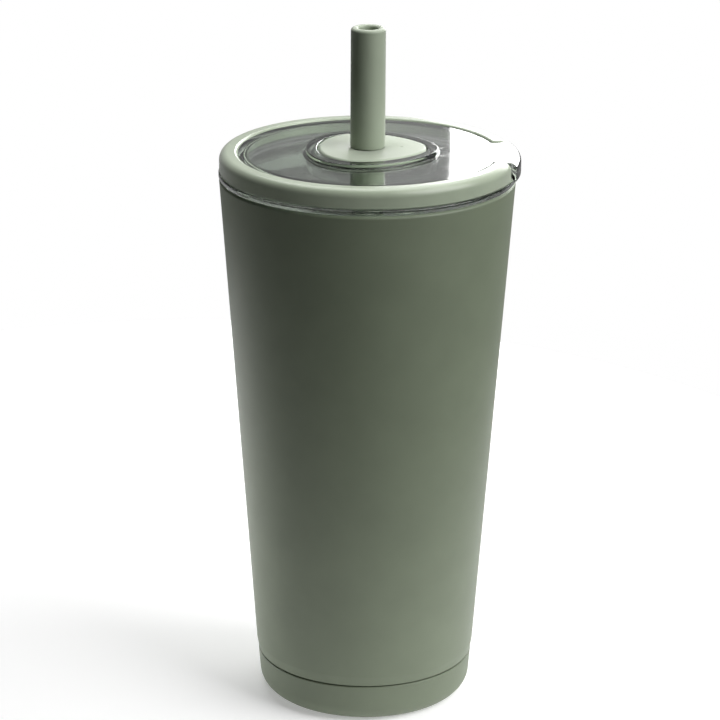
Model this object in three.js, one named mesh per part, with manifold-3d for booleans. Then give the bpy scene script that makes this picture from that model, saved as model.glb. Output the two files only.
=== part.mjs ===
// Insulated tumbler with a press-in clear lid, a snap-on trim ring and a removable straw.
// Millimetres, +Z up. The origin is the centre of the base, where the tumbler stands.
// +X points at the lift tab of the lid.

import * as THREE from 'three';
import { mergeVertices } from 'three/addons/utils/BufferGeometryUtils.js';
import Module from 'manifold-3d';

const wasm = await Module();
wasm.setup();

// ---- driving dimensions ------------------------------------------------------------------

const GAP = 0.3;                 // clearance between pieces that touch
const SEGMENTS = 48;             // facets around the cup and lid
const STRAW_SEGMENTS = 24;       // facets around the straws and the small round pieces

const RIM_Z = 163.0;             // top of the steel rim
const RIM_RADIUS = 44.0;         // outside of the cone, carried up to the rim
const TAPER = 1 / 14;            // radius lost per millimetre of depth
const STEEL = 0.8;               // sheet of the outer shell and its base
const LINER_STEEL = 0.7;         // sheet of the inner liner
const VACUUM = 2.0;              // width of the vacuum space in the wall
const SEAM_RADIUS = 42.2;        // weld between shell and liner, on top of the rim
const RIM_CORNER = 0.9;          // rounding of the rim, outside and inside

const BOOT_TOP = 12.4;           // line where the silicone boot starts
const BOOT_TOP_RADIUS = 33.0;
const BOOT_LOW_RADIUS = 32.35;
const BOOT_CORNER = 5.7;         // radius of the bottom edge
const BOOT_FLOOR = 1.6;          // thickness under the steel
const FOOT_INNER_RADIUS = 21.0;  // inside of the ring that the tumbler stands on
const FOOT_RECESS = 0.6;

const NECK_RADIUS = 31.2;        // shell where it steps in behind the boot
const BASE_CORNER = 3.4;         // outside corner radius of the steel base
const LINER_FLOOR_Z = 9.3;       // inside floor of the cup
const LINER_CORNER = 8.0;        // inside corner radius of the cup

const FLANGE_RADIUS = 44.1;      // clear flange that rests on the rim
const FLANGE_Z = RIM_Z + GAP;
const RING_Z = 165.3;            // underside of the trim ring
const LID_TOP = 171.0;
const RING_RADIUS = 43.9;
const RING_INNER_RADIUS = 38.7;
const TAB_HALF_ANGLE = 17;       // opening of the ring at the lift tab, degrees either side of +X
const TAB_RADIUS = 45.4;
const RING_CORNER = 3.2;         // outer top edge of the ring
const TAB_CORNER = 2.0;          // outer top edge of the tab
const COVER_TOP = 170.6;         // flat clear top, almost level with the ring
const COVER_THICKNESS = 2.0;
const SKIRT_OUTER_RADIUS = 38.9; // part of the lid that presses into the mouth
const SKIRT_INNER_RADIUS = 36.9;
const SKIRT_BOTTOM = 151.5;
const GROOVE_LOW = 155.5;        // gasket groove in the skirt
const GROOVE_HIGH = 160.0;
const GROOVE_RADIUS = 37.9;

const PLUG_TOP = 172.1;          // egg-shaped plate that carries the straw
const PLUG_BOTTOM = 170.1;
const BOSS_TOP = 171.9;          // raised clear rim that the plate drops into
const BOSS_RIM = 3.2;            // width of the rim
const COLLAR_WALL = 2.0;         // clear collar that hangs under the rim
const COLLAR_BOTTOM = 164.0;
const LEDGE_THICKNESS = 1.8;     // seat under the plate
const SEAT_HOLE_RADIUS = 6.4;

const STRAW_RADIUS = 5.15;       // soft upper straw, above the plate
const STEM_RADIUS = 4.75;        // the same straw below the plate
const STRAW_BORE = 2.95;
const STRAW_TOP = 208.0;
const STEM_BOTTOM = 158.0;
const TUBE_RADIUS = 4.75;        // clear lower straw
const TUBE_BORE = 3.6;
const SPIGOT_RADIUS = 3.65;      // its thinner end, pushed up into the soft straw
const SPIGOT_TOP = 167.0;
const TUBE_BOTTOM = 15.0;

// ---- materials ---------------------------------------------------------------------------

const finish = (color, roughness, metalness) =>
  new THREE.MeshStandardMaterial({ color, roughness, metalness });
const POWDER_COAT = finish(0x5a6350, 0.55, 0.1);
const SILICONE = finish(0x8c9682, 0.6, 0);
const BOOT_SILICONE = finish(0x59624f, 0.65, 0);
const STAINLESS = finish(0xb4b6b4, 0.3, 1);
const GETTER_METAL = finish(0x6d6c6a, 0.7, 0.8);
const CLEAR = finish(0xdfe6e0, 0.05, 0);
CLEAR.transparent = true;
CLEAR.opacity = 0.35;
const GASKET = finish(0xc9cec6, 0.5, 0);

// ---- helpers -----------------------------------------------------------------------------

const tumbler = new THREE.Group();

function addPart(name, geometry, material) {
  const mesh = new THREE.Mesh(geometry, material);
  mesh.name = name;
  tumbler.add(mesh);
}

const point = (r, z) => new THREE.Vector2(r, z);

// Points on a circular arc in the (radius, height) plane, angles in degrees.
function arc(centreR, centreZ, radius, from, to, steps) {
  const points = [];
  for (let i = 0; i <= steps; i++) {
    const angle = THREE.MathUtils.degToRad(from + (to - from) * i / steps);
    points.push(point(centreR + radius * Math.cos(angle), centreZ + radius * Math.sin(angle)));
  }
  return points;
}

// Turns a closed outline, listed anticlockwise in (radius, height), about the Z axis.
// An outline that reaches the axis starts and ends on it; any other is closed here.
function turned(outline, segments = SEGMENTS) {
  const onAxis = outline[0].x === 0;
  const loop = onAxis ? outline : [...outline, outline[0]];
  const geometry = new THREE.LatheGeometry(loop, segments);
  geometry.rotateX(Math.PI / 2);
  return geometry;
}

// A flat outline in (x, y), raised from one height to another.
function raised(shape, low, high) {
  const geometry = new THREE.ExtrudeGeometry(shape, { depth: high - low, bevelEnabled: false });
  geometry.translate(0, 0, low);
  return geometry;
}

// Geometry to manifold solid, and back.
function solid(source) {
  const bare = source.clone();
  for (const name of ['normal', 'uv']) bare.deleteAttribute(name);
  const merged = mergeVertices(bare, 1e-4);
  const index = merged.index.array;
  const triangles = [];
  for (let i = 0; i < index.length; i += 3) {
    const [a, b, c] = [index[i], index[i + 1], index[i + 2]];
    if (a !== b && b !== c && c !== a) triangles.push(a, b, c);
  }
  return new wasm.Manifold(new wasm.Mesh({
    numProp: 3,
    vertProperties: merged.attributes.position.array,
    triVerts: new Uint32Array(triangles),
  }));
}

function geometryOf(manifold) {
  const mesh = manifold.getMesh();
  const geometry = new THREE.BufferGeometry();
  geometry.setAttribute('position', new THREE.BufferAttribute(mesh.vertProperties, 3));
  geometry.setIndex(new THREE.BufferAttribute(mesh.triVerts, 1));
  return geometry;
}

const coneRadius = (z) => RIM_RADIUS - (FLANGE_Z - z) * TAPER;

// ---- plan shapes -------------------------------------------------------------------------

// Egg-shaped outline of the straw plug, blunt end towards the tab, grown by an offset.
const EGG_CENTRE = 1.4;
const EGG_HALF_LENGTH = 15.9;
const EGG_HALF_WIDTH = 15.6;
const EGG_SKEW = 0.22;

function egg(offset, steps = 40) {
  const points = [];
  for (let i = 0; i < steps; i++) {
    const t = (2 * Math.PI * i) / steps;
    const x = EGG_CENTRE + (EGG_HALF_LENGTH + offset) * Math.cos(t);
    const y = (EGG_HALF_WIDTH + offset) * Math.sin(t) * (1 - EGG_SKEW * Math.cos(t));
    points.push(point(x, y));
  }
  return new THREE.Shape(points);
}

function disc(radius, steps) {
  const shape = new THREE.Shape();
  shape.absarc(0, 0, radius, 0, 2 * Math.PI);
  return new THREE.Shape(shape.getPoints(steps / 2).slice(0, -1));
}

// ---- steel cup ---------------------------------------------------------------------------

function outerShell() {
  const stepZ = BOOT_TOP + GAP / 2;
  const neckEnd = BASE_CORNER + BOOT_FLOOR + GAP * 3;
  const lip = RIM_CORNER;
  const lipZ = RIM_Z - lip;
  const shoulderZ = stepZ + 3;
  return turned([
    point(NECK_RADIUS - STEEL, neckEnd),
    point(NECK_RADIUS, neckEnd),
    point(NECK_RADIUS, stepZ),
    point(coneRadius(stepZ) - 0.35, stepZ),
    point(coneRadius(stepZ) - 0.05, stepZ + 0.9),
    point(coneRadius(shoulderZ), shoulderZ),
    ...arc(coneRadius(lipZ) - lip, lipZ, lip, 0, 90, 4),
    point(SEAM_RADIUS + GAP / 2, RIM_Z),
    point(SEAM_RADIUS + GAP / 2, RIM_Z - STEEL),
    point(coneRadius(lipZ) - STEEL, lipZ - STEEL),
    point(coneRadius(shoulderZ) - STEEL, shoulderZ),
    point(NECK_RADIUS - STEEL, stepZ),
  ]);
}

function innerLiner() {
  const outside = (z) => coneRadius(z) - STEEL - VACUUM;
  const inside = (z) => outside(z) - LINER_STEEL;
  const outerFloor = LINER_FLOOR_Z - LINER_STEEL;
  const corner = LINER_CORNER + LINER_STEEL;
  const cornerZ = LINER_FLOOR_Z + LINER_CORNER;
  const centreR = inside(cornerZ) - LINER_CORNER;
  const lip = RIM_CORNER;
  const lipZ = RIM_Z - lip;
  return turned([
    point(0, outerFloor),
    ...arc(centreR, cornerZ, corner, -90, 0, 6),
    point(outside(RIM_Z - 5), RIM_Z - 5),
    point(outside(RIM_Z - 5), RIM_Z - 2 * lip),
    point(SEAM_RADIUS - GAP / 2, RIM_Z - STEEL),
    point(SEAM_RADIUS - GAP / 2, RIM_Z),
    ...arc(inside(lipZ) + lip, lipZ, lip, 90, 180, 3),
    ...arc(centreR, cornerZ, LINER_CORNER, 0, -90, 6),
    point(0, LINER_FLOOR_Z),
  ]);
}

const DIMPLE_RADIUS = 5.5;       // pump-out dimple in the middle of the base
const DIMPLE_DEPTH = 1.2;
const PORT_RADIUS = 1.6;
const BASE_Z = BOOT_FLOOR + GAP;

function outerBase() {
  const cornerZ = BASE_Z + BASE_CORNER;
  const centreR = NECK_RADIUS - BASE_CORNER;
  const rimZ = cornerZ + GAP;
  return turned([
    point(PORT_RADIUS, BASE_Z + DIMPLE_DEPTH),
    point(DIMPLE_RADIUS, BASE_Z + DIMPLE_DEPTH),
    point(DIMPLE_RADIUS + DIMPLE_DEPTH, BASE_Z),
    ...arc(centreR, cornerZ, BASE_CORNER, -90, 0, 4),
    point(NECK_RADIUS, rimZ),
    point(NECK_RADIUS - STEEL, rimZ),
    ...arc(centreR, cornerZ, BASE_CORNER - STEEL, 0, -90, 4),
    point(DIMPLE_RADIUS + DIMPLE_DEPTH, BASE_Z + STEEL),
    point(DIMPLE_RADIUS, BASE_Z + DIMPLE_DEPTH + STEEL),
    point(PORT_RADIUS, BASE_Z + DIMPLE_DEPTH + STEEL),
  ]);
}

// Bead that closes the pump-out port after the wall has been evacuated.
function vacuumSeal() {
  const headTop = BASE_Z + DIMPLE_DEPTH - GAP;
  const headRadius = 4.2;
  const stemRadius = PORT_RADIUS - GAP;
  return turned([
    point(0, BASE_Z + 0.1),
    point(headRadius - 1, BASE_Z + 0.1),
    point(headRadius, headTop - 0.3),
    point(headRadius - 0.3, headTop),
    point(stemRadius, headTop),
    point(stemRadius, headTop + 1.4),
    point(0, headTop + 1.4),
  ], STRAW_SEGMENTS);
}

// Gas-absorbing pellet in its welded holder, in the vacuum space under the cup.
const GETTER_OFFSET = 16;
const HOLDER_RADIUS = 5.4;
const HOLDER_Z = BASE_Z + STEEL + GAP;
const HOLDER_SHEET = 0.4;
const PELLET_RADIUS = 4.7;
const PELLET_HEIGHT = 2.3;

function getterHolder() {
  const sheet = HOLDER_SHEET;
  const height = 2.6;
  const tabLength = 2 * HOLDER_RADIUS + 7;
  const tabWidth = 4;
  const cup = solid(turned([
    point(0, HOLDER_Z),
    point(HOLDER_RADIUS, HOLDER_Z),
    point(HOLDER_RADIUS, HOLDER_Z + height),
    point(HOLDER_RADIUS - sheet, HOLDER_Z + height),
    point(HOLDER_RADIUS - sheet, HOLDER_Z + sheet),
    point(0, HOLDER_Z + sheet),
  ], STRAW_SEGMENTS));
  const tab = new THREE.BoxGeometry(tabLength, tabWidth, sheet);
  tab.translate(0, 0, HOLDER_Z + sheet / 2);
  const geometry = geometryOf(cup.add(solid(tab)));
  geometry.translate(-GETTER_OFFSET, 0, 0);
  return geometry;
}

function getterPellet() {
  const low = HOLDER_Z + HOLDER_SHEET + GAP;
  const high = low + PELLET_HEIGHT;
  const chamfer = 0.3;
  const geometry = turned([
    point(0, low),
    point(PELLET_RADIUS - chamfer, low),
    point(PELLET_RADIUS, low + chamfer),
    point(PELLET_RADIUS, high - chamfer),
    point(PELLET_RADIUS - chamfer, high),
    point(0, high),
  ], STRAW_SEGMENTS);
  geometry.translate(-GETTER_OFFSET, 0, 0);
  return geometry;
}

// Soft boot, moulded flush with the shell, with a raised standing ring underneath.
function baseBoot() {
  const wall = NECK_RADIUS + GAP;
  const cornerZ = BOOT_FLOOR + BASE_CORNER + GAP;
  return turned([
    point(0, FOOT_RECESS),
    point(FOOT_INNER_RADIUS - FOOT_RECESS, FOOT_RECESS),
    point(FOOT_INNER_RADIUS, 0),
    ...arc(BOOT_LOW_RADIUS - BOOT_CORNER, BOOT_CORNER, BOOT_CORNER, -90, 0, 6),
    point(BOOT_TOP_RADIUS, BOOT_TOP - 0.4),
    point(BOOT_TOP_RADIUS - 0.4, BOOT_TOP - GAP / 2),
    point(wall, BOOT_TOP - GAP / 2),
    ...arc(NECK_RADIUS - BASE_CORNER, cornerZ, BASE_CORNER + GAP, 0, -90, 4),
    point(0, BOOT_FLOOR),
  ]);
}

// ---- lid ---------------------------------------------------------------------------------

const COVER_BOTTOM = COVER_TOP - COVER_THICKNESS;
const NECK_OUTER = RING_INNER_RADIUS - GAP;      // short neck of the lid inside the trim ring
const FLANGE_TOP = RING_Z - GAP;
const LEDGE_TOP = PLUG_BOTTOM - GAP;
const SOCKET_CLEARANCE = 0.5;
const CUT_LOW = 160;                             // heights past both faces of what is cut
const CUT_HIGH = 180;
const CUT_REACH = 60;                            // radius past the whole lid

// A pie slice about +X that clears the lid, in degrees either side.
function wedge(halfAngle) {
  const half = THREE.MathUtils.degToRad(halfAngle);
  const points = [point(0, 0)];
  const steps = 6;
  for (let i = 0; i <= steps; i++) {
    const angle = -half + (2 * half * i) / steps;
    points.push(point(CUT_REACH * Math.cos(angle), CUT_REACH * Math.sin(angle)));
  }
  return solid(raised(new THREE.Shape(points), CUT_LOW, CUT_HIGH));
}

function lidBody() {
  const corner = 0.4;
  const fillet = 1.5;
  const root = 0.5;                              // how far the tab starts inside the neck and flange
  const main = solid(turned([
    point(0, COVER_BOTTOM),
    ...arc(SKIRT_INNER_RADIUS - fillet, COVER_BOTTOM - fillet, fillet, 90, 0, 3),
    point(SKIRT_INNER_RADIUS, SKIRT_BOTTOM + corner),
    point(SKIRT_INNER_RADIUS + corner, SKIRT_BOTTOM),
    point(SKIRT_OUTER_RADIUS - corner, SKIRT_BOTTOM),
    point(SKIRT_OUTER_RADIUS, SKIRT_BOTTOM + corner),
    point(SKIRT_OUTER_RADIUS, GROOVE_LOW),
    point(GROOVE_RADIUS, GROOVE_LOW),
    point(GROOVE_RADIUS, GROOVE_HIGH),
    point(SKIRT_OUTER_RADIUS, GROOVE_HIGH),
    point(SKIRT_OUTER_RADIUS, FLANGE_Z),
    point(FLANGE_RADIUS - corner, FLANGE_Z),
    point(FLANGE_RADIUS, FLANGE_Z + corner),
    point(FLANGE_RADIUS, FLANGE_TOP - corner),
    point(FLANGE_RADIUS - corner, FLANGE_TOP),
    point(NECK_OUTER, FLANGE_TOP),
    point(NECK_OUTER, COVER_TOP - corner),
    point(NECK_OUTER - corner, COVER_TOP),
    point(0, COVER_TOP),
  ]));
  const tabRing = solid(turned([
    point(NECK_OUTER - root, FLANGE_TOP - root),
    point(FLANGE_RADIUS - corner, FLANGE_TOP - root),
    point(TAB_RADIUS, RING_Z + 1.4),
    ...arc(TAB_RADIUS - TAB_CORNER, COVER_TOP - TAB_CORNER, TAB_CORNER, 0, 90, 3),
    point(NECK_OUTER - root, COVER_TOP),
  ]));
  const tab = tabRing.intersect(wedge(TAB_HALF_ANGLE - 0.5));
  const rimOffset = SOCKET_CLEARANCE + BOSS_RIM;
  const boss = solid(raised(egg(rimOffset), COLLAR_BOTTOM, BOSS_TOP));
  const socket = solid(raised(egg(SOCKET_CLEARANCE), LEDGE_TOP, CUT_HIGH));
  const hollow = solid(raised(egg(rimOffset - COLLAR_WALL), CUT_LOW, LEDGE_TOP - LEDGE_THICKNESS));
  const strawHole = solid(raised(disc(SEAT_HOLE_RADIUS, STRAW_SEGMENTS), CUT_LOW, CUT_HIGH));
  return geometryOf(main.add(tab).add(boss).subtract(socket.add(hollow).add(strawHole)));
}

// Trim ring, open at the lift tab.
function lidRing() {
  const innerCorner = 0.8;
  const full = solid(turned([
    point(RING_INNER_RADIUS, RING_Z),
    point(RING_RADIUS, RING_Z),
    ...arc(RING_RADIUS - RING_CORNER, LID_TOP - RING_CORNER, RING_CORNER, 0, 90, 5),
    ...arc(RING_INNER_RADIUS + innerCorner, LID_TOP - innerCorner, innerCorner, 90, 180, 3),
  ]));
  return geometryOf(full.subtract(wedge(TAB_HALF_ANGLE)));
}

// Seal with two soft lips that wipe the inside of the cup.
function lidGasket() {
  const back = GROOVE_RADIUS + GAP;
  const low = GROOVE_LOW + GAP;
  const high = GROOVE_HIGH - GAP;
  const lipRadius = 39.75;
  const web = SKIRT_OUTER_RADIUS + 0.1;
  return turned([
    point(back, low),
    point(web, low),
    point(lipRadius - 0.2, low + 0.3),
    point(lipRadius - 0.2, low + 0.8),
    point(web, low + 1.3),
    point(web, high - 1.3),
    point(lipRadius, high - 0.8),
    point(lipRadius, high - 0.3),
    point(web, high),
    point(back, high),
  ]);
}

// ---- straw -------------------------------------------------------------------------------

const FOOT_FLARE = 0.4;          // rounded foot where the soft straw meets the plate
const BEAD_RADIUS = 6.0;         // bead that holds the plate from below
const SOCKET_DEPTH = 9.3;        // how far the spigot goes into the stem

function strawPlug() {
  const edge = 0.6;
  const plate = solid(raised(egg(0), PLUG_BOTTOM, PLUG_TOP - edge));
  const crown = solid(raised(egg(-edge), PLUG_TOP - 2 * edge, PLUG_TOP));
  const hole = solid(raised(disc(STEM_RADIUS + GAP, STRAW_SEGMENTS), CUT_LOW, CUT_HIGH));
  return geometryOf(plate.add(crown).subtract(hole));
}

function mouthStraw() {
  const foot = PLUG_TOP + GAP;
  const beadTop = PLUG_BOTTOM - GAP;
  const lip = 0.9;
  const socketRadius = SPIGOT_RADIUS + GAP;
  const socketTop = STEM_BOTTOM + SOCKET_DEPTH;
  return turned([
    point(socketRadius, STEM_BOTTOM),
    point(STEM_RADIUS, STEM_BOTTOM),
    point(STEM_RADIUS, beadTop - 1.6),
    point(BEAD_RADIUS, beadTop - 0.8),
    point(BEAD_RADIUS, beadTop),
    point(STEM_RADIUS, beadTop),
    point(STEM_RADIUS, foot),
    point(STRAW_RADIUS + FOOT_FLARE, foot),
    ...arc(STRAW_RADIUS + FOOT_FLARE, foot + FOOT_FLARE + 0.1, FOOT_FLARE, 240, 180, 2),
    ...arc(STRAW_RADIUS - lip, STRAW_TOP - lip, lip, 0, 90, 3),
    ...arc(STRAW_BORE + lip, STRAW_TOP - lip, lip, 90, 180, 3),
    point(STRAW_BORE, socketTop),
    point(socketRadius, socketTop),
  ], STRAW_SEGMENTS);
}

function lowerStraw() {
  const edge = 0.25;
  const shoulder = STEM_BOTTOM - GAP;
  return turned([
    point(TUBE_BORE, TUBE_BOTTOM),
    point(TUBE_RADIUS - edge, TUBE_BOTTOM),
    point(TUBE_RADIUS, TUBE_BOTTOM + edge),
    point(TUBE_RADIUS, shoulder),
    point(SPIGOT_RADIUS, shoulder),
    point(SPIGOT_RADIUS, SPIGOT_TOP - edge),
    point(SPIGOT_RADIUS - edge, SPIGOT_TOP),
    point(STRAW_BORE, SPIGOT_TOP),
    point(STRAW_BORE, shoulder - 1),
    point(TUBE_BORE, shoulder - 2),
  ], STRAW_SEGMENTS);
}

// ---- assembly ----------------------------------------------------------------------------

addPart('outer_shell', outerShell(), POWDER_COAT);
addPart('inner_liner', innerLiner(), STAINLESS);
addPart('outer_base', outerBase(), STAINLESS);
addPart('vacuum_seal', vacuumSeal(), GETTER_METAL);
addPart('getter_holder', getterHolder(), STAINLESS);
addPart('getter_pellet', getterPellet(), GETTER_METAL);
addPart('base_boot', baseBoot(), BOOT_SILICONE);
addPart('lid_body', lidBody(), CLEAR);
addPart('lid_ring', lidRing(), SILICONE);
addPart('lid_gasket', lidGasket(), GASKET);
addPart('straw_plug', strawPlug(), SILICONE);
addPart('mouth_straw', mouthStraw(), SILICONE);
addPart('lower_straw', lowerStraw(), CLEAR);

export default tumbler;
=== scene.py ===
"""Looks of an insulated tumbler with a clear press-in lid, a trim ring and a straw.

Metres, +Z up, +X towards the lift tab of the lid. The CAD frame gives the places and sizes. The
pieces here are finer meshes of the same solids, with their edge radii and their materials.
"""
import math

import bmesh
import bpy
from mathutils import Matrix, Vector


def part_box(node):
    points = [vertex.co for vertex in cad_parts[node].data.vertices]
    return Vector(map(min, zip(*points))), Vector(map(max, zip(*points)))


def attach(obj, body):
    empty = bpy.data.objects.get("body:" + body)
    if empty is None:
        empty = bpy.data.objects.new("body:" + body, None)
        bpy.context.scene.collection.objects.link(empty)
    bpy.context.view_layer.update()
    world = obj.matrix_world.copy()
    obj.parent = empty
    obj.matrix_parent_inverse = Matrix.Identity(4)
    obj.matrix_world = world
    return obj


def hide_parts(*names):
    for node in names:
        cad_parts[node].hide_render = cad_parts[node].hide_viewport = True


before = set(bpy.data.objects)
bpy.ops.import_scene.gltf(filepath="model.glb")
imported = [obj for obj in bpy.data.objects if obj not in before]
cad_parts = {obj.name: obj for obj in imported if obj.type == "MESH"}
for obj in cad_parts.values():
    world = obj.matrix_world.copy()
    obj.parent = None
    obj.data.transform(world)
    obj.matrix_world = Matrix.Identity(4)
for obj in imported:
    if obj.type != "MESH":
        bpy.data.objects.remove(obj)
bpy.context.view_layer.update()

MM = 0.001

# ---- sizes taken from the frame ----------------------------------------------------------

GAP = 0.3 * MM                                 # clearance that the CAD pieces keep
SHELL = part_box("outer_shell")
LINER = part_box("inner_liner")
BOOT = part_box("base_boot")
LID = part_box("lid_body")
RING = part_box("lid_ring")
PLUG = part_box("straw_plug")
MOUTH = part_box("mouth_straw")
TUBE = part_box("lower_straw")
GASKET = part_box("lid_gasket")

RIM_Z = SHELL[1].z
RIM_R = SHELL[1].y
LID_TOP = RING[1].z
RING_LOW = RING[0].z
RING_R = RING[1].y
FLANGE_R = LID[1].y
TAB_R = LID[1].x
PLUG_TOP = PLUG[1].z
PLUG_LOW = PLUG[0].z

# ---- sizes of details --------------------------------------------------------------------

TAPER = 1 / 14                                 # radius that the wall loses per unit of depth
LIP = 0.9 * MM                                 # edge radius of the rim
STEEL = 0.8 * MM
VACUUM = 2.0 * MM
LINER_STEEL = 0.7 * MM
SEAM_R = 42.2 * MM
NECK_R = 31.2 * MM
RING_IN = 38.7 * MM
SKIRT_OUT = 38.9 * MM
SKIRT_IN = 36.9 * MM
GROOVE_IN = 37.9 * MM
COVER_TOP = 170.6 * MM                         # flat clear top of the lid
COVER_LOW = 168.6 * MM
COLLAR_LOW = 164.0 * MM                        # clear collar round the straw, under the top
LEDGE_TOP = PLUG_LOW - GAP
LEDGE_LOW = LEDGE_TOP - 1.8 * MM
BOSS_TOP = PLUG_TOP - 0.2 * MM
SEAT_HOLE = 6.4 * MM
SOCKET_FIT = 0.5 * MM
BOSS_RIM = 3.2 * MM
COLLAR_WALL = 2.0 * MM
TAB_HALF = 16.5                                # degrees either side of +X
TAB_SIDE = 0.45                                # degrees in which the tab ends
RING_HALF = 17.0
RING_CORNER = 3.2 * MM
TAB_CORNER = 2.0 * MM
STRAW_R = 5.15 * MM
BORE_R = 2.95 * MM
STEM_R = 4.75 * MM
SPIGOT_R = 3.65 * MM


def cone_radius(z):
    """Outside of the tapered wall at a height. It is widest just below the lip's edge radius."""
    return RIM_R + LIP * TAPER - (RIM_Z - z) * TAPER


# ---- mesh helpers ------------------------------------------------------------------------

WELD = 1e-7                                    # points closer than this become one
EDGE_SHARE = 0.49                              # most of an edge that one fillet takes


def fillet(before, corner, after, radius, steps):
    """Points of the arc that rounds one corner of an outline."""
    c = Vector(corner)
    to_before = Vector(before) - c
    to_after = Vector(after) - c
    half = to_before.angle(to_after) / 2
    reach = radius / math.tan(half)
    reach = min(reach, EDGE_SHARE * to_before.length, EDGE_SHARE * to_after.length)
    size = reach * math.tan(half)
    bisector = (to_before.normalized() + to_after.normalized()).normalized()
    centre = c + bisector * (size / math.sin(half))
    start = c + to_before.normalized() * reach - centre
    end = c + to_after.normalized() * reach - centre
    turn = start.angle_signed(end)
    points = []
    for i in range(steps + 1):
        a = -turn * i / steps
        spun = Vector((start.x * math.cos(a) - start.y * math.sin(a),
                       start.x * math.sin(a) + start.y * math.cos(a)))
        points.append(tuple(centre + spun))
    return points


def rounded(corners, steps, closed=True):
    """An outline from (u, z, radius) corners. The ends of an open one stay as they are."""
    n = len(corners)
    points = []
    for i, (u, z, radius) in enumerate(corners):
        end = not closed and i in (0, n - 1)
        if end or radius <= 0:
            points.append((u, z))
            continue
        before = corners[i - 1][:2]
        after = corners[(i + 1) % n][:2]
        points += fillet(before, (u, z), after, radius, steps)
    return points


def circle(u, z, angle):
    """Point at a radius, height and angle about the axis."""
    return Vector((u * math.cos(angle), u * math.sin(angle), z))


EGG_CENTRE = 1.4 * MM
EGG_HALF_LENGTH = 15.9 * MM
EGG_HALF_WIDTH = 15.6 * MM
EGG_SKEW = 0.22


def egg(offset, z, angle):
    """Point on the plan outline of the straw plug, grown by an offset."""
    x = EGG_CENTRE + (EGG_HALF_LENGTH + offset) * math.cos(angle)
    y = (EGG_HALF_WIDTH + offset) * math.sin(angle) * (1 - EGG_SKEW * math.cos(angle))
    return Vector((x, y, z))


def columns(count):
    """Equal steps of angle round the axis."""
    return [2 * math.pi * i / count for i in range(count)]


def link_object(name, data):
    """A new object of the scene for a mesh, lamp or camera."""
    obj = bpy.data.objects.new(name, data)
    bpy.context.scene.collection.objects.link(obj)
    return obj


def skin(name, strips, around=True, along=True):
    """A closed mesh over strips of points: strips[i][j] is column i, profile point j.
    around joins the last column to the first; otherwise the two ends are capped.
    along joins the last profile point to the first."""
    bm = bmesh.new()
    grid = [[bm.verts.new(p) for p in strip] for strip in strips]
    rows = len(strips[0])
    for i in range(len(strips) if around else len(strips) - 1):
        a = grid[i]
        b = grid[(i + 1) % len(strips)]
        for j in range(rows if along else rows - 1):
            k = (j + 1) % rows
            bm.faces.new((a[j], b[j], b[k], a[k]))
    if not around:
        bm.faces.new(grid[0])
        bm.faces.new(grid[-1])
    bmesh.ops.remove_doubles(bm, verts=bm.verts, dist=WELD)
    bmesh.ops.recalc_face_normals(bm, faces=bm.faces)
    mesh = bpy.data.meshes.new(name)
    bm.to_mesh(mesh)
    bm.free()
    mesh.shade_smooth()
    return link_object(name, mesh)


def turned(name, corners, count, steps=5):
    """A closed solid turned about Z from (radius, z, edge radius) corners."""
    outline = rounded(corners, steps)
    return skin(name, [[circle(u, z, a) for u, z in outline] for a in columns(count)])


def turned_to_axis(name, corners, count, steps):
    """The same for an open outline whose ends are on the axis."""
    outline = rounded(corners, steps, closed=False)
    return skin(name, [[circle(u, z, a) for u, z in outline] for a in columns(count)], along=False)


def finish_piece(obj, body, node, material):
    """Even shading across the flats, then the piece takes the place of its CAD node."""
    weighted = obj.modifiers.new("flat_normals", "WEIGHTED_NORMAL")
    weighted.keep_sharp = True
    obj.data.materials.append(material)
    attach(obj, body)
    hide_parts(node)


# ---- material helpers --------------------------------------------------------------------

def new_material(name):
    material = bpy.data.materials.new(name)
    material.use_nodes = True
    nodes = material.node_tree.nodes
    return material, nodes, material.node_tree.links, nodes["Principled BSDF"]


def object_vector(nodes, links, scale=(1, 1, 1)):
    coords = nodes.new("ShaderNodeTexCoord")
    mapping = nodes.new("ShaderNodeMapping")
    mapping.inputs["Scale"].default_value = scale
    links.new(coords.outputs["Object"], mapping.inputs["Vector"])
    return mapping.outputs["Vector"]


def noise(nodes, links, vector, scale, detail, roughness=0.5):
    texture = nodes.new("ShaderNodeTexNoise")
    texture.inputs["Scale"].default_value = scale
    texture.inputs["Detail"].default_value = detail
    texture.inputs["Roughness"].default_value = roughness
    links.new(vector, texture.inputs["Vector"])
    return texture.outputs["Fac"]


NOISE_LOW, NOISE_HIGH = 0.3, 0.7               # where most of a noise texture's values lie


def spread(nodes, links, value, low, high):
    """Maps a noise value to a range."""
    node = nodes.new("ShaderNodeMapRange")
    node.inputs["From Min"].default_value = NOISE_LOW
    node.inputs["From Max"].default_value = NOISE_HIGH
    node.inputs["To Min"].default_value = low
    node.inputs["To Max"].default_value = high
    links.new(value, node.inputs["Value"])
    return node.outputs["Result"]


def two_tone(nodes, links, value, dark, light):
    """Maps a noise value to colours between two."""
    ramp = nodes.new("ShaderNodeValToRGB")
    ramp.color_ramp.elements[0].position = NOISE_LOW
    ramp.color_ramp.elements[0].color = (*dark, 1)
    ramp.color_ramp.elements[1].position = NOISE_HIGH
    ramp.color_ramp.elements[1].color = (*light, 1)
    links.new(value, ramp.inputs["Fac"])
    return ramp.outputs["Color"]


def bump(nodes, links, height, distance, strength, below=None):
    node = nodes.new("ShaderNodeBump")
    node.inputs["Distance"].default_value = distance
    node.inputs["Strength"].default_value = strength
    links.new(height, node.inputs["Height"])
    if below is not None:
        links.new(below, node.inputs["Normal"])
    return node.outputs["Normal"]


def shade(colour, factor):
    return tuple(c * factor for c in colour)


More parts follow.
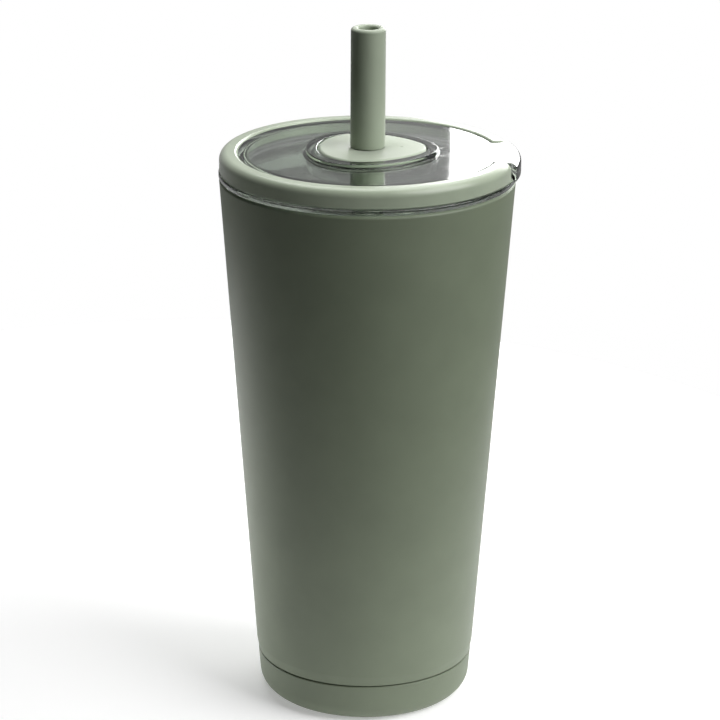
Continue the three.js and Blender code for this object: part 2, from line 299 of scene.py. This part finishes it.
def fine_grained(name, colour, roughness, grain, depth, sheen=0.0):
    """A matt coat or moulding: fine grain, a slow ripple, and slight changes of tone and gloss."""
    tone_change, gloss_change = 0.04, 0.05
    ripple_length, ripple_depth = grain * 60, depth * 3
    material, nodes, links, shader = new_material(name)
    vector = object_vector(nodes, links)
    fine = noise(nodes, links, vector, 1 / grain, 3.0, 0.6)
    slow = noise(nodes, links, vector, 1 / ripple_length, 3.0)
    tone = two_tone(nodes, links, slow, shade(colour, 1 - tone_change), shade(colour, 1 + tone_change))
    links.new(tone, shader.inputs["Base Color"])
    gloss = spread(nodes, links, fine, roughness - gloss_change, roughness + gloss_change)
    links.new(gloss, shader.inputs["Roughness"])
    ripple = bump(nodes, links, slow, ripple_depth, 0.4)
    links.new(bump(nodes, links, fine, depth, 0.6, ripple), shader.inputs["Normal"])
    shader.inputs["Sheen Weight"].default_value = sheen
    shader.inputs["Sheen Roughness"].default_value = 0.5
    return material


def lamps_through(nodes, links, shader, tint):
    """Lets lamp light pass through a clear piece, so that what is behind it isn't in full shadow."""
    path = nodes.new("ShaderNodeLightPath")
    passing = nodes.new("ShaderNodeBsdfTransparent")
    passing.inputs["Color"].default_value = (*tint, 1)
    mix = nodes.new("ShaderNodeMixShader")
    links.new(path.outputs["Is Shadow Ray"], mix.inputs["Fac"])
    links.new(shader.outputs["BSDF"], mix.inputs[1])
    links.new(passing.outputs["BSDF"], mix.inputs[2])
    links.new(mix.outputs["Shader"], nodes["Material Output"].inputs["Surface"])


def clear_plastic():
    """Polished copolyester, with a faint green tint and a slow ripple in its surface."""
    material, nodes, links, shader = new_material("clear_plastic")
    vector = object_vector(nodes, links)
    slow = noise(nodes, links, vector, 1 / (9 * MM), 2.0)
    tint = two_tone(nodes, links, slow, (0.85, 0.885, 0.85), (0.89, 0.92, 0.89))
    links.new(tint, shader.inputs["Base Color"])
    links.new(spread(nodes, links, slow, 0.03, 0.055), shader.inputs["Roughness"])
    links.new(bump(nodes, links, slow, 0.02 * MM, 0.3), shader.inputs["Normal"])
    shader.inputs["Transmission Weight"].default_value = 1.0
    shader.inputs["IOR"].default_value = 1.54
    lamps_through(nodes, links, shader, (0.94, 0.96, 0.94))
    return material


def stainless():
    """Electropolished sheet with faint turning marks round the axis."""
    material, nodes, links, shader = new_material("stainless")
    turning = (40, 40, 2600)                   # marks per metre: long round the axis, fine along it
    marks = noise(nodes, links, object_vector(nodes, links, turning), 1.0, 4.0, 0.6)
    cloud = noise(nodes, links, object_vector(nodes, links), 1 / (14 * MM), 3.0)
    tone = two_tone(nodes, links, cloud, (0.56, 0.555, 0.54), (0.64, 0.635, 0.62))
    links.new(tone, shader.inputs["Base Color"])
    links.new(spread(nodes, links, marks, 0.2, 0.34), shader.inputs["Roughness"])
    links.new(bump(nodes, links, marks, 0.02 * MM, 0.4), shader.inputs["Normal"])
    shader.inputs["Metallic"].default_value = 1.0
    return material


def dull_metal():
    """Sintered metal: a dark, coarse grain."""
    material, nodes, links, shader = new_material("dull_metal")
    vector = object_vector(nodes, links)
    grain = noise(nodes, links, vector, 1 / (0.3 * MM), 4.0, 0.7)
    tone = two_tone(nodes, links, grain, (0.12, 0.12, 0.115), (0.25, 0.24, 0.23))
    links.new(tone, shader.inputs["Base Color"])
    links.new(spread(nodes, links, grain, 0.5, 0.7), shader.inputs["Roughness"])
    links.new(bump(nodes, links, grain, 0.08 * MM, 0.8), shader.inputs["Normal"])
    shader.inputs["Metallic"].default_value = 0.8
    return material


def milky_silicone():
    """Translucent silicone of the seal."""
    material, nodes, links, shader = new_material("milky_silicone")
    vector = object_vector(nodes, links)
    slow = noise(nodes, links, vector, 1 / (3 * MM), 2.0)
    tone = two_tone(nodes, links, slow, (0.62, 0.65, 0.61), (0.7, 0.72, 0.69))
    links.new(tone, shader.inputs["Base Color"])
    links.new(spread(nodes, links, slow, 0.35, 0.45), shader.inputs["Roughness"])
    links.new(bump(nodes, links, slow, 0.05 * MM, 0.3), shader.inputs["Normal"])
    shader.inputs["Transmission Weight"].default_value = 0.25
    shader.inputs["IOR"].default_value = 1.41
    return material


COAT_COLOUR = (0.186, 0.222, 0.152)
SAGE_COLOUR = (0.385, 0.445, 0.335)

POWDER = fine_grained("powder_coat", COAT_COLOUR, 0.5, 0.22 * MM, 0.02 * MM)
SAGE = fine_grained("sage_silicone", shade(SAGE_COLOUR, 0.9), 0.5, 0.15 * MM, 0.012 * MM, 0.25)
RING_SATIN = fine_grained("ring_satin", SAGE_COLOUR, 0.28, 0.12 * MM, 0.004 * MM, 0.25)
BOOT_MATT = fine_grained("boot_silicone", shade(COAT_COLOUR, 0.95), 0.55, 0.18 * MM, 0.015 * MM)
CLEAR = clear_plastic()
STAINLESS = stainless()
DULL_METAL = dull_metal()
MILKY = milky_silicone()


# ---- steel cup ---------------------------------------------------------------------------

def make_shell():
    step = BOOT[1].z + GAP                     # where the wall comes out over the boot
    bend = step + 3 * MM
    return turned("shell_skin", [
        (NECK_R - STEEL, SHELL[0].z, 0.1 * MM),
        (NECK_R, SHELL[0].z, 0.1 * MM),
        (NECK_R, step, 0.3 * MM),
        (cone_radius(step) - 0.35 * MM, step, 0.35 * MM),
        (cone_radius(bend), bend, 6 * MM),
        (cone_radius(RIM_Z), RIM_Z, LIP),
        (SEAM_R + GAP / 2, RIM_Z, 0.1 * MM),
        (SEAM_R + GAP / 2, RIM_Z - STEEL, 0.1 * MM),
        (cone_radius(RIM_Z) - STEEL, RIM_Z - STEEL, 0.3 * MM),
        (cone_radius(bend) - STEEL, bend, 2 * MM),
        (NECK_R - STEEL, step, 0.5 * MM),
    ], 288)


def make_liner():
    outer_floor = LINER[0].z
    floor = outer_floor + LINER_STEEL

    def outside(z):
        return cone_radius(z) - STEEL - VACUUM

    corner = 8 * MM
    upright = RIM_Z - 5 * MM                   # the wall stands upright from here to the lip
    return turned_to_axis("liner_skin", [
        (0, outer_floor, 0),
        (outside(outer_floor), outer_floor, corner + LINER_STEEL),
        (outside(upright), upright, 0),
        (outside(upright), RIM_Z - 1.8 * MM, 0.3 * MM),
        (SEAM_R - GAP / 2, RIM_Z - STEEL, 0.1 * MM),
        (SEAM_R - GAP / 2, RIM_Z, 0.1 * MM),
        (outside(RIM_Z) - LINER_STEEL, RIM_Z, LIP),
        (outside(floor) - LINER_STEEL, floor, corner),
        (0, floor, 0),
    ], 224, 10)


def make_boot():
    foot = 21 * MM
    recess = 0.6 * MM
    low_r = BOOT[1].x - 0.65 * MM
    wall = NECK_R + GAP
    top = BOOT[1].z
    inner_floor = 1.6 * MM
    return turned_to_axis("boot_skin", [
        (0, recess, 0),
        (foot - recess, recess, 0.3 * MM),
        (foot, 0, 0.3 * MM),
        (low_r - 0.3 * MM, 0, 5.7 * MM),
        (BOOT[1].x, top, 0.35 * MM),
        (wall, top, 0.2 * MM),
        (wall, inner_floor, 3.7 * MM),
        (0, inner_floor, 0),
    ], 224, 8)


# ---- lid ---------------------------------------------------------------------------------

def smooth_step(low, high, value):
    """0 below a range, 1 above it, and an even curve between."""
    t = min(1.0, max(0.0, (value - low) / (high - low)))
    return t * t * (3 - 2 * t)


def lid_columns():
    """Angles round the lid, closer together at the sides of the tab."""
    half = [i * 1.5 for i in range(11)]                       # across the tab
    half += [TAB_HALF - 0.7 + 0.1 * i for i in range(8)]      # round its side
    half += [18.0 + 1.8 * i for i in range(90)]               # and on to the far side
    full = half + [180.0] + [-a for a in half if a > 0]
    return [math.radians(a) for a in sorted(full)]


def lid_outline(angle):
    """Points of the lid's section at an angle, starting at the straw hole and going round."""
    in_tab = 1 - smooth_step(TAB_HALF - TAB_SIDE, TAB_HALF, abs(math.degrees(angle)))
    flange_low = RIM_Z + GAP
    flange_top = RING_LOW - GAP
    neck = RING_IN - GAP
    plain = [
        (neck, COVER_TOP, 0.2 * MM),
        (neck, flange_top, 0.2 * MM),
        (FLANGE_R, flange_top, 0.3 * MM),
        (FLANGE_R, flange_low, 0.5 * MM),
    ]
    tab = [
        (TAB_R, COVER_TOP, TAB_CORNER),
        (TAB_R, flange_top + 0.2 * MM, 0.6 * MM),
        (FLANGE_R, flange_top - 0.3 * MM, 0.2 * MM),
        (FLANGE_R, flange_low, 0.5 * MM),
    ]
    join = SKIRT_IN - 4 * MM                   # where the egg-shaped part meets the round one
    middle = [(join, COVER_TOP, 0)]
    for p, t in zip(plain, tab):
        middle.append(tuple(pi + (ti - pi) * in_tab for pi, ti in zip(p, t)))
    groove_low = GASKET[0].z - GAP
    groove_high = GASKET[1].z + GAP
    skirt_low = LID[0].z
    middle += [
        (SKIRT_OUT, flange_low, 0.2 * MM),
        (SKIRT_OUT, groove_high, 0.15 * MM),
        (GROOVE_IN, groove_high, 0.2 * MM),
        (GROOVE_IN, groove_low, 0.2 * MM),
        (SKIRT_OUT, groove_low, 0.15 * MM),
        (SKIRT_OUT, skirt_low, 0.6 * MM),
        (SKIRT_IN, skirt_low, 0.6 * MM),
        (SKIRT_IN, COVER_LOW, 1.5 * MM),
        (join, COVER_LOW, 0),
    ]
    rim = SOCKET_FIT + BOSS_RIM
    hollow = rim - COLLAR_WALL
    apron = rim + 3 * MM
    boss = [
        (-1.5 * MM, LEDGE_TOP, 0),
        (SOCKET_FIT, LEDGE_TOP, 0.4 * MM),
        (SOCKET_FIT, BOSS_TOP, 0.3 * MM),
        (rim, BOSS_TOP, 0.35 * MM),
        (rim, COVER_TOP, 0.4 * MM),
        (apron, COVER_TOP, 0),
    ]
    under = [
        (apron, COVER_LOW, 0),
        (rim, COVER_LOW, 1.0 * MM),
        (rim, COLLAR_LOW, 0.6 * MM),
        (hollow, COLLAR_LOW, 0.6 * MM),
        (hollow, LEDGE_LOW, 0.6 * MM),
        (-1 * MM, LEDGE_LOW, 0),
    ]
    seat = SEAT_HOLE + 0.6 * MM
    hole = [
        (seat, LEDGE_LOW, 0),
        (SEAT_HOLE, LEDGE_LOW, 0.25 * MM),
        (SEAT_HOLE, LEDGE_TOP, 0.25 * MM),
        (seat, LEDGE_TOP, 0),
    ]
    points = []
    for plan, corners, steps in ((circle, hole, 4), (egg, boss, 6), (circle, middle, 6), (egg, under, 5)):
        points += [plan(u, z, angle) for u, z in rounded(corners, steps, closed=False)]
    return points


def round_cutter(name, x, radius, low, high):
    """An upright closed cylinder with flat ends, for cutting."""
    centre = Vector((x, 0, 0))
    strips = [[centre + circle(radius, z, a) for z in (low, high)] for a in columns(32)]
    bm = bmesh.new()
    grid = [[bm.verts.new(p) for p in strip] for strip in strips]
    for i, a in enumerate(grid):
        b = grid[(i + 1) % len(grid)]
        bm.faces.new((a[0], b[0], b[1], a[1]))
    bm.faces.new([strip[0] for strip in grid])
    bm.faces.new([strip[1] for strip in grid])
    bmesh.ops.recalc_face_normals(bm, faces=bm.faces)
    mesh = bpy.data.meshes.new(name)
    bm.to_mesh(mesh)
    bm.free()
    return link_object(name, mesh)


def cut(obj, cutter):
    """Cuts one solid from another and applies the result, so no cutter stays in the scene."""
    boolean = obj.modifiers.new("cut", "BOOLEAN")
    boolean.operation = "DIFFERENCE"
    boolean.solver = "EXACT"
    boolean.object = cutter
    bpy.context.view_layer.update()
    evaluated = obj.evaluated_get(bpy.context.evaluated_depsgraph_get())
    mesh = bpy.data.meshes.new_from_object(evaluated)
    obj.modifiers.clear()
    obj.data = mesh
    bpy.data.objects.remove(cutter)


def make_lid():
    return skin("lid_clear", [lid_outline(a) for a in lid_columns()])


def make_ring():
    outline = rounded([
        (RING_IN, RING_LOW, 0.3 * MM),
        (RING_R, RING_LOW, 0.25 * MM),
        (RING_R, LID_TOP, RING_CORNER),
        (RING_IN, LID_TOP, 0.8 * MM),
    ], 9)
    centre = Vector(((RING_IN + RING_R) / 2, (RING_LOW + LID_TOP) / 2))
    nose = 0.5 * MM                            # edge radius of the two ends
    nose_steps = 5
    body_steps = 220
    strips = []

    def section(angle, inset):
        """The outline at an angle, drawn in towards its centre."""
        points = []
        for u, z in outline:
            away = Vector((u, z)) - centre
            point = centre + away * (1 - inset / away.length)
            points.append(circle(point.x, point.y, angle))
        return points

    start = math.radians(RING_HALF)
    end = 2 * math.pi - start
    turns = [math.pi / 2 * i / nose_steps for i in range(nose_steps)]
    for a in turns:
        strips.append(section(start + nose * (1 - math.cos(a)) / RING_R, nose * (1 - math.sin(a))))
    reach = nose / RING_R
    for i in range(body_steps + 1):
        strips.append(section(start + reach + (end - start - 2 * reach) * i / body_steps, 0))
    for a in reversed(turns):
        strips.append(section(end - nose * (1 - math.cos(a)) / RING_R, nose * (1 - math.sin(a))))
    return skin("ring_satin", strips, around=False)


def make_gasket():
    back = GROOVE_IN + GAP
    low, high = GASKET[0].z, GASKET[1].z
    web = SKIRT_OUT + 0.1 * MM
    lip = GASKET[1].y
    return turned("gasket_seal", [
        (back, low, 0.2 * MM),
        (web, low, 0.1 * MM),
        (lip - 0.2 * MM, low + 0.3 * MM, 0.15 * MM),
        (lip - 0.2 * MM, low + 0.8 * MM, 0.2 * MM),
        (web, low + 1.3 * MM, 0.2 * MM),
        (web, high - 1.3 * MM, 0.2 * MM),
        (lip, high - 0.8 * MM, 0.2 * MM),
        (lip, high - 0.3 * MM, 0.15 * MM),
        (web, high, 0.1 * MM),
        (back, high, 0.2 * MM),
    ], 192, 3)


# ---- straw -------------------------------------------------------------------------------

def make_plug():
    hole = [
        (STEM_R + GAP, PLUG_LOW, 0.15 * MM),
        (STEM_R + GAP, PLUG_TOP, 0.15 * MM),
    ]
    inside = -4 * MM
    plate = [
        (inside, PLUG_TOP, 0),
        (0, PLUG_TOP, 0.8 * MM),
        (0, PLUG_LOW, 0.3 * MM),
        (inside, PLUG_LOW, 0),
    ]
    strips = []
    for a in columns(160):
        strip = [circle(u, z, a) for u, z, _ in hole]
        strip += [egg(u, z, a) for u, z in rounded(plate, 7, closed=False)]
        strips.append(strip)
    plate_skin = skin("plug_plate", strips)
    gate_x, gate_r, gate_depth = 10 * MM, 0.5 * MM, 0.07 * MM       # moulding mark
    cut(plate_skin, round_cutter("gate_cutter", gate_x, gate_r, PLUG_TOP - gate_depth, PLUG_TOP + 1 * MM))
    return plate_skin


def make_mouth_straw():
    foot = PLUG_TOP + GAP
    bead_top = PLUG_LOW - GAP                  # the bead under the plug holds it on the straw
    bead_r = 6.0 * MM
    socket = SPIGOT_R + GAP
    low, top = MOUTH[0].z, MOUTH[1].z
    socket_top = low + 9.3 * MM
    return turned("mouth_straw_soft", [
        (socket, low, 0.2 * MM),
        (STEM_R, low, 0.2 * MM),
        (STEM_R, bead_top - 1.6 * MM, 0.3 * MM),
        (bead_r, bead_top - 0.8 * MM, 0.3 * MM),
        (bead_r, bead_top, 0.2 * MM),
        (STEM_R, bead_top, 0.05 * MM),
        (STEM_R, foot, 0.05 * MM),
        (STRAW_R, foot, 0.05 * MM),
        (STRAW_R, top, 0.95 * MM),
        (BORE_R, top, 0.8 * MM),
        (BORE_R, socket_top, 0.2 * MM),
        (socket, socket_top, 0.2 * MM),
    ], 112, 6)


def make_lower_straw():
    shoulder = MOUTH[0].z - GAP
    low, top = TUBE[0].z, TUBE[1].z
    bore = 3.6 * MM
    return turned("lower_straw_clear", [
        (bore, low, 0.25 * MM),
        (STEM_R, low, 0.3 * MM),
        (STEM_R, shoulder, 0.2 * MM),
        (SPIGOT_R, shoulder, 0.1 * MM),
        (SPIGOT_R, top, 0.25 * MM),
        (BORE_R, top, 0.1 * MM),
        (BORE_R, shoulder - 1 * MM, 0.3 * MM),
        (bore, shoulder - 2 * MM, 0.3 * MM),
    ], 96, 4)


finish_piece(make_shell(), "cup", "outer_shell", POWDER)
finish_piece(make_liner(), "cup", "inner_liner", STAINLESS)
finish_piece(make_boot(), "cup", "base_boot", BOOT_MATT)
finish_piece(make_lid(), "lid", "lid_body", CLEAR)
finish_piece(make_ring(), "lid", "lid_ring", RING_SATIN)
finish_piece(make_gasket(), "lid", "lid_gasket", MILKY)
finish_piece(make_plug(), "straw", "straw_plug", SAGE)
finish_piece(make_mouth_straw(), "straw", "mouth_straw", SAGE)
finish_piece(make_lower_straw(), "straw", "lower_straw", CLEAR)

for node, material in (("outer_base", STAINLESS), ("getter_holder", STAINLESS),
                       ("vacuum_seal", DULL_METAL), ("getter_pellet", DULL_METAL)):
    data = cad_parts[node].data
    data.materials.clear()
    data.materials.append(material)


# ---- stage -------------------------------------------------------------------------------

def map_range(nodes, links, value, from_min, from_max, to_min, to_max):
    """Maps a value from one range to another, with eased ends."""
    node = nodes.new("ShaderNodeMapRange")
    node.interpolation_type = "SMOOTHSTEP"
    numbers = (("From Min", from_min), ("From Max", from_max), ("To Min", to_min), ("To Max", to_max))
    for name, number in numbers:
        node.inputs[name].default_value = number
    links.new(value, node.inputs["Value"])
    return node.outputs["Result"]


def make_floor():
    """A pale round table top, just under the tumbler, with more of it behind than in front.
    It glows a little, and more towards its edge, so that it fades into the white behind it."""
    centre = Vector((-0.06, 0.10, 0))
    radius = 0.26
    top, low = -0.2 * MM, -8 * MM
    near, far = 0.2, 0.33                      # distances from the tumbler between which the glow grows
    glow_near, glow_far = 0.32, 0.8
    strips = []
    for a in columns(128):
        strip = [Vector((0, 0, top)), circle(radius, top, a), circle(radius, low, a), Vector((0, 0, low))]
        strips.append([centre + p for p in strip])
    floor = skin("floor", strips, along=False)
    material, nodes, links, shader = new_material("floor_white")
    shader.inputs["Base Color"].default_value = (0.82, 0.82, 0.82, 1)
    shader.inputs["Roughness"].default_value = 0.8
    shader.inputs["Specular IOR Level"].default_value = 0.2
    shader.inputs["Emission Color"].default_value = (1, 1, 1, 1)
    coords = nodes.new("ShaderNodeTexCoord")
    reach = nodes.new("ShaderNodeVectorMath")
    reach.operation = "LENGTH"
    links.new(coords.outputs["Object"], reach.inputs[0])
    glow = map_range(nodes, links, reach.outputs["Value"], near, far, glow_near, glow_far)
    links.new(glow, shader.inputs["Emission Strength"])
    floor.data.materials.append(material)


def look_at(obj, target, roll=0.0):
    """Turns a lamp or camera to face a point."""
    away = obj.location - target
    turn = away.to_track_quat("Z", "Y").to_matrix() @ Matrix.Rotation(roll, 3, "Z")
    obj.rotation_euler = turn.to_euler()


def softbox(name, place, target, width, height, power):
    """A rectangular area light at a place, facing a target."""
    light = bpy.data.lights.new(name, "AREA")
    light.shape = "RECTANGLE"
    light.size = width
    light.size_y = height
    light.energy = power
    obj = link_object(name, light)
    obj.location = place
    look_at(obj, target)
    return obj


MIDDLE = Vector((0, 0, 0.1))                   # of the tumbler


def around(azimuth, elevation, distance):
    """A place seen from the middle of the tumbler, azimuth from +X towards +Y, in degrees."""
    a, e = math.radians(azimuth), math.radians(elevation)
    return MIDDLE + distance * Vector((math.cos(a) * math.cos(e), math.sin(a) * math.cos(e), math.sin(e)))


def make_lights():
    """Soft lamps. Clear pieces don't show them in what is seen through them, only in reflections."""
    box_height = 1.1
    for name, place, width, power in (
        ("key_right", around(-25, 38, 1.3), 1.0, 17.5),
        ("overhead", around(82, 66, 1.2), 1.2, 14.5),
    ):
        box = softbox(name, place, MIDDLE, width, box_height, power)
        box.visible_transmission = False
    # A weak, narrow one lights the left edge of the lower wall.
    low_place, low_aim = Vector((-0.36, 0.27, 0.04)), Vector((0, 0, 0.04))
    low_left = softbox("low_left", low_place, low_aim, 0.3, 0.08, 0.06)
    low_left.data.spread = math.radians(25)
    low_left.visible_transmission = False
    # The lid mirrors these two: the near upright edge of the first shows as the edge of the glare,
    # and the dim one lightens the cover to the right of the straw.
    width, height = 0.8, 0.5
    behind, level = 0.9, 0.42
    for name, edge, power in (("back_right", 0.052, 10.0), ("back_middle", 0.008, 0.35)):
        place = Vector((edge + width / 2, behind, level))
        glare = softbox(name, place, place - Vector((0, 1, 0)), width, height, power)
        glare.visible_diffuse = False
        glare.visible_transmission = False


AMBIENT = 0.03
SEEN_THROUGH = 0.05                            # what clear plastic shows in place of AMBIENT
WALL_GLOW = 0.27
SWEEP_GLOW = 0.25
HORIZON = 0.05                                 # half the height of the band in which the two meet


def combine(nodes, links, operation, a, b):
    """Arithmetic on two node outputs."""
    node = nodes.new("ShaderNodeMath")
    node.operation = operation
    links.new(a, node.inputs[0])
    links.new(b, node.inputs[1])
    return node.outputs[0]


def make_world():
    """White to the camera. To everything else it is a dim studio, with a wall and a pale sweep behind."""
    world = bpy.data.worlds.new("studio")
    bpy.context.scene.world = world
    world.use_nodes = True
    nodes, links = world.node_tree.nodes, world.node_tree.links
    background = nodes["Background"]
    coords = nodes.new("ShaderNodeTexCoord")
    parts = nodes.new("ShaderNodeSeparateXYZ")
    links.new(coords.outputs["Generated"], parts.inputs["Vector"])
    # Y is 1 straight behind the tumbler and 0 beside it. Z is 0 at the horizon.
    wall = map_range(nodes, links, parts.outputs["Y"], 0.6, 0.96, 0, WALL_GLOW)
    above = map_range(nodes, links, parts.outputs["Z"], -HORIZON, HORIZON, 0, 1)
    sweep = map_range(nodes, links, parts.outputs["Y"], 0.4, 0.9, 0, SWEEP_GLOW)
    below = map_range(nodes, links, parts.outputs["Z"], -HORIZON, HORIZON, 1, 0)
    glow = combine(nodes, links, "ADD", combine(nodes, links, "MULTIPLY", wall, above),
                   combine(nodes, links, "MULTIPLY", sweep, below))
    path = nodes.new("ShaderNodeLightPath")
    dim = map_range(nodes, links, path.outputs["Is Transmission Ray"], 0, 1, AMBIENT, SEEN_THROUGH)
    studio = combine(nodes, links, "ADD", glow, dim)
    mix = nodes.new("ShaderNodeMix")
    mix.data_type = "RGBA"
    mix.inputs["B"].default_value = (1, 1, 1, 1)
    links.new(studio, mix.inputs["A"])
    links.new(path.outputs["Is Camera Ray"], mix.inputs["Factor"])
    links.new(mix.outputs["Result"], background.inputs["Color"])


def make_camera():
    camera = bpy.data.cameras.new("camera")
    camera.sensor_width = 36
    camera.lens = 150.8
    obj = link_object("camera", camera)
    pitch = math.radians(18.9)
    distance = 0.912
    aim = Vector((-1.9 * MM, 0, 105.5 * MM))
    obj.location = aim + distance * Vector((0, -math.cos(pitch), math.sin(pitch)))
    look_at(obj, aim, roll=math.radians(0.33))
    bpy.context.scene.camera = obj


make_floor()
make_lights()
make_world()
make_camera()
bpy.context.scene.view_settings.view_transform = "Standard"
